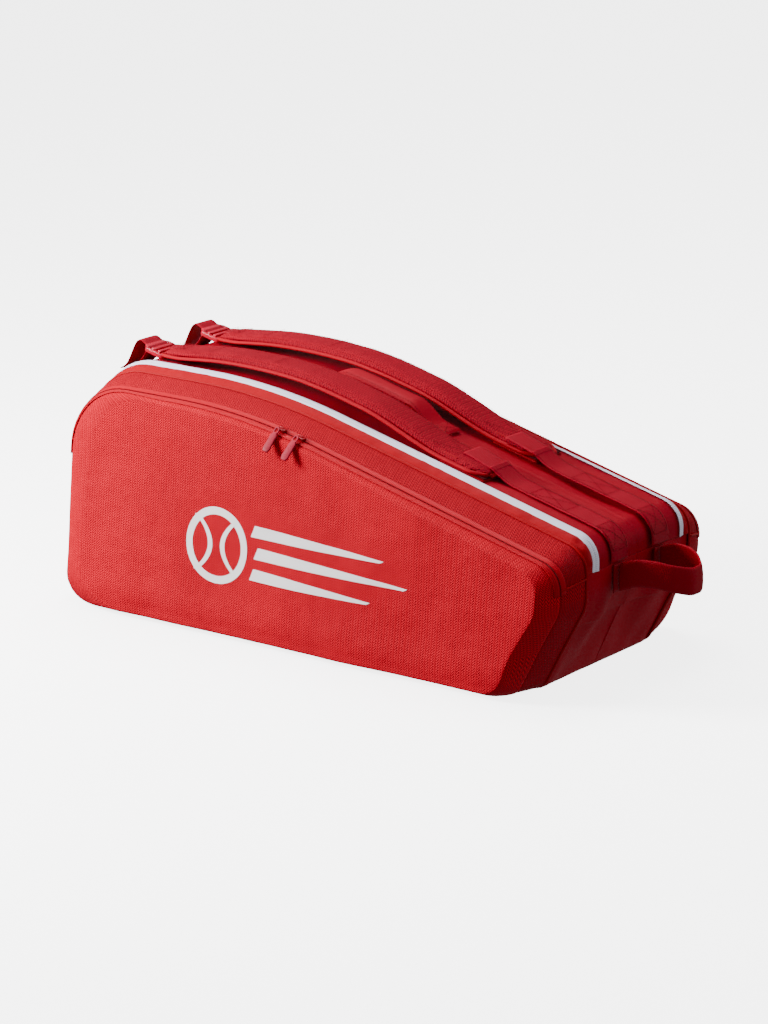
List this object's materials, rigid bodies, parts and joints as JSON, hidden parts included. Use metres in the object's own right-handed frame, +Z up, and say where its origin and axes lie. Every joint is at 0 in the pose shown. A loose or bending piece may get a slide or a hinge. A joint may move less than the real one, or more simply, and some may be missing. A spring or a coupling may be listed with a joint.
{
  "type": "racket tournament bag",
  "caption": "Wedge-shaped racket bag with twin racket compartments, outer accessory pods, padded backpack straps, haul handle and grab loop.",
  "frame": {"origin": "centre of the base, on the ground", "axes": "+X along the bag towards the handle end with the grab loop, -Y towards the front pocket, +Z up"},
  "size_m": [0.8918, 0.3898, 0.347],
  "materials": {
    "face_fabric": "moulded textured woven polyester",
    "smooth_fabric": "smooth coated polyester",
    "top_fabric": "textured woven polyester over foam",
    "base_fabric": "coated base cloth",
    "base_stiffener": "stiffener board",
    "lining": "lining cloth over thin foam",
    "white_zip": "white reverse coil zip tape",
    "red_zip": "red reverse coil zip tape",
    "strap_fabric": "textured woven polyester over foam",
    "strap_mesh": "spacer mesh",
    "webbing": "woven nylon webbing",
    "buckle_plastic": "moulded acetal",
    "slider_metal": "painted",
    "puller_rubber": "moulded rubber puller"
  },
  "bodies": {
    "bag": {"base_panel": "base_fabric", "base_board": "base_stiffener", "centre_divider": "lining", "top_panel": "top_fabric", "head_gusset": "smooth_fabric", "handle_gusset": "smooth_fabric", "grab_loop_tabs": "webbing", "main_zip_inner_front": "white_zip", "strap_webbing_front": "webbing", "strap_patch_front": "top_fabric", "webbing_anchor_front": "webbing", "lower_webbing_front": "webbing", "main_zip_inner_rear": "white_zip", "strap_webbing_rear": "webbing", "strap_patch_rear": "top_fabric", "webbing_anchor_rear": "webbing", "lower_webbing_rear": "webbing"},
    "front_pod": {"pod_inner_wall_front": "lining", "pod_frame_front": "face_fabric", "pod_flange_front": "smooth_fabric", "seam_piping_front": "smooth_fabric", "main_zip_outer_front": "white_zip", "pocket_zip_upper_front": "red_zip"},
    "front_pocket": {"pocket_panel_front": "face_fabric", "pocket_zip_lower_front": "red_zip"},
    "front_strap": {"shoulder_strap_front": "strap_fabric", "strap_lining_front": "strap_mesh"},
    "front_lock": {"ladder_lock_front": "buckle_plastic"},
    "front_head_slider": {"pocket_slider_front_head": "slider_metal"},
    "front_head_puller": {"pocket_puller_front_head": "puller_rubber"},
    "front_handle_slider": {"pocket_slider_front_handle": "slider_metal"},
    "front_handle_puller": {"pocket_puller_front_handle": "puller_rubber"},
    "front_main_slider": {"main_slider_front": "slider_metal"},
    "front_main_puller": {"main_puller_front": "puller_rubber"},
    "rear_pod": {"pod_inner_wall_rear": "lining", "pod_frame_rear": "face_fabric", "pod_flange_rear": "smooth_fabric", "seam_piping_rear": "smooth_fabric", "main_zip_outer_rear": "white_zip", "pocket_zip_upper_rear": "red_zip"},
    "rear_pocket": {"pocket_panel_rear": "face_fabric", "pocket_zip_lower_rear": "red_zip"},
    "rear_strap": {"shoulder_strap_rear": "strap_fabric", "strap_lining_rear": "strap_mesh"},
    "rear_lock": {"ladder_lock_rear": "buckle_plastic"},
    "rear_head_slider": {"pocket_slider_rear_head": "slider_metal"},
    "rear_head_puller": {"pocket_puller_rear_head": "puller_rubber"},
    "rear_handle_slider": {"pocket_slider_rear_handle": "slider_metal"},
    "rear_handle_puller": {"pocket_puller_rear_handle": "puller_rubber"},
    "rear_main_slider": {"main_slider_rear": "slider_metal"},
    "rear_main_puller": {"main_puller_rear": "puller_rubber"},
    "haul_handle": {"haul_handle": "smooth_fabric"},
    "grab_loop": {"grab_loop": "webbing"}
  },
  "joints": [
    {"name": "front_compartment_open", "type": "hinge", "parent": "bag", "child": "front_pod", "pos_m": [0, -0.196, 0], "axis": [1, 0, 0], "range_deg": [0, 15]},
    {"name": "front_pocket_open", "type": "hinge", "parent": "front_pod", "child": "front_pocket", "pos_m": [0, -0.196, 0], "axis": [1, 0, 0], "range_deg": [0, 12]},
    {"name": "front_head_slider_travel", "type": "hinge", "parent": "front_pocket", "child": "front_head_slider", "pos_m": [-0.21567, -0.157, -0.59], "axis": [0, -1, 0], "range_deg": [0, 10.5]},
    {"name": "front_head_puller_lift", "type": "hinge", "parent": "front_head_slider", "child": "front_head_puller", "pos_m": [-0.046, -0.1635, 0.28658], "axis": [-0.9815, 0, 0.1917], "range_deg": [0, 120]},
    {"name": "front_handle_slider_travel", "type": "slide", "parent": "front_pocket", "child": "front_handle_slider", "axis": [0.9692, 0, -0.2462], "range_m": [0, 0.35]},
    {"name": "front_handle_puller_lift", "type": "hinge", "parent": "front_handle_slider", "child": "front_handle_puller", "pos_m": [-0.016, -0.1635, 0.28018], "axis": [-0.9742, 0, 0.2256], "range_deg": [0, 120]},
    {"name": "front_main_slider_travel", "type": "slide", "parent": "front_pod", "child": "front_main_slider", "axis": [0.0674, 0, 0.9977], "range_m": [0, 0.17]},
    {"name": "front_main_puller_lift", "type": "hinge", "parent": "front_main_slider", "child": "front_main_puller", "pos_m": [-0.4173, -0.09815, 0.0445], "axis": [0, 1, 0], "range_deg": [0, 120]},
    {"name": "front_strap_lift", "type": "hinge", "parent": "bag", "child": "front_strap", "pos_m": [0.214, -0.058, 0.24095], "axis": [0, 1, 0], "range_deg": [0, 15], "deforming": ["lower_webbing_front"]},
    {"name": "front_lock_tilt", "type": "hinge", "parent": "front_strap", "child": "front_lock", "pos_m": [-0.3065, -0.058, 0.326], "axis": [0, 1, 0], "range_deg": [-6, 18]},
    {"name": "rear_compartment_open", "type": "hinge", "parent": "bag", "child": "rear_pod", "pos_m": [0, 0.196, 0], "axis": [-1, 0, 0], "range_deg": [0, 15]},
    {"name": "rear_pocket_open", "type": "hinge", "parent": "rear_pod", "child": "rear_pocket", "pos_m": [0, 0.196, 0], "axis": [-1, 0, 0], "range_deg": [0, 12]},
    {"name": "rear_head_slider_travel", "type": "hinge", "parent": "rear_pocket", "child": "rear_head_slider", "pos_m": [-0.21567, 0.157, -0.59], "axis": [0, -1, 0], "range_deg": [0, 10.5]},
    {"name": "rear_head_puller_lift", "type": "hinge", "parent": "rear_head_slider", "child": "rear_head_puller", "pos_m": [-0.046, 0.1635, 0.28658], "axis": [0.9815, 0, -0.1917], "range_deg": [0, 120]},
    {"name": "rear_handle_slider_travel", "type": "slide", "parent": "rear_pocket", "child": "rear_handle_slider", "axis": [0.9692, 0, -0.2462], "range_m": [0, 0.35]},
    {"name": "rear_handle_puller_lift", "type": "hinge", "parent": "rear_handle_slider", "child": "rear_handle_puller", "pos_m": [-0.016, 0.1635, 0.28018], "axis": [0.9742, 0, -0.2256], "range_deg": [0, 120]},
    {"name": "rear_main_slider_travel", "type": "slide", "parent": "rear_pod", "child": "rear_main_slider", "axis": [0.0674, 0, 0.9977], "range_m": [0, 0.17]},
    {"name": "rear_main_puller_lift", "type": "hinge", "parent": "rear_main_slider", "child": "rear_main_puller", "pos_m": [-0.4173, 0.09815, 0.0445], "axis": [0, 1, 0], "range_deg": [0, 120]},
    {"name": "rear_strap_lift", "type": "hinge", "parent": "bag", "child": "rear_strap", "pos_m": [0.214, 0.058, 0.24095], "axis": [0, 1, 0], "range_deg": [0, 15], "deforming": ["lower_webbing_rear"]},
    {"name": "rear_lock_tilt", "type": "hinge", "parent": "rear_strap", "child": "rear_lock", "pos_m": [-0.3065, 0.058, 0.326], "axis": [0, 1, 0], "range_deg": [-6, 18]},
    {"name": "haul_handle_rise", "type": "slide", "parent": "bag", "child": "haul_handle", "axis": [0, 0, 1], "range_m": [0, 0.018]},
    {"name": "grab_loop_lift", "type": "hinge", "parent": "bag", "child": "grab_loop", "pos_m": [0.38945, 0, 0.157], "axis": [0, -1, 0], "range_deg": [0, 60]}
  ]
}
